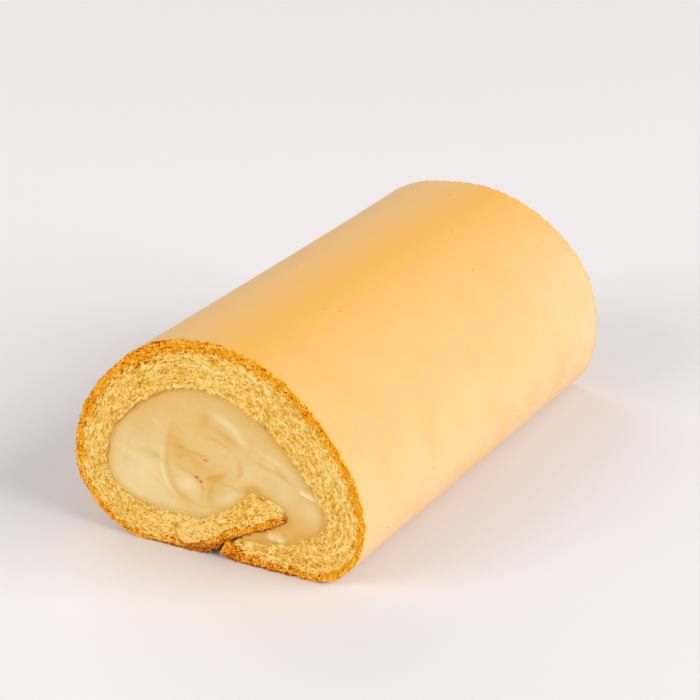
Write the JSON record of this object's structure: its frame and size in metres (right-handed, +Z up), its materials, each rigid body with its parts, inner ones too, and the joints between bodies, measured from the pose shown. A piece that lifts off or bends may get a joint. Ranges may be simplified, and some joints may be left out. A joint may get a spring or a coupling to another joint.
{
  "type": "swiss roll cake",
  "caption": "Whole swiss roll cake: a browned sponge sheet rolled once round a thick core of custard cream, its two ends cut straight.",
  "frame": {"origin": "middle of the roll's footprint, on the surface that it stands on", "axes": "+Z up, +Y along the roll away from the shown cut, +X to the right as seen from the shown cut"},
  "size_m": [0.0924, 0.159, 0.0635],
  "materials": {
    "sponge": "matte golden baked skin, open yellow crumb at the cuts",
    "custard_cream": "soft satin, pale yellow"
  },
  "bodies": {
    "root": {"sponge": "sponge", "cream": "custard_cream"}
  },
  "joints": []
}
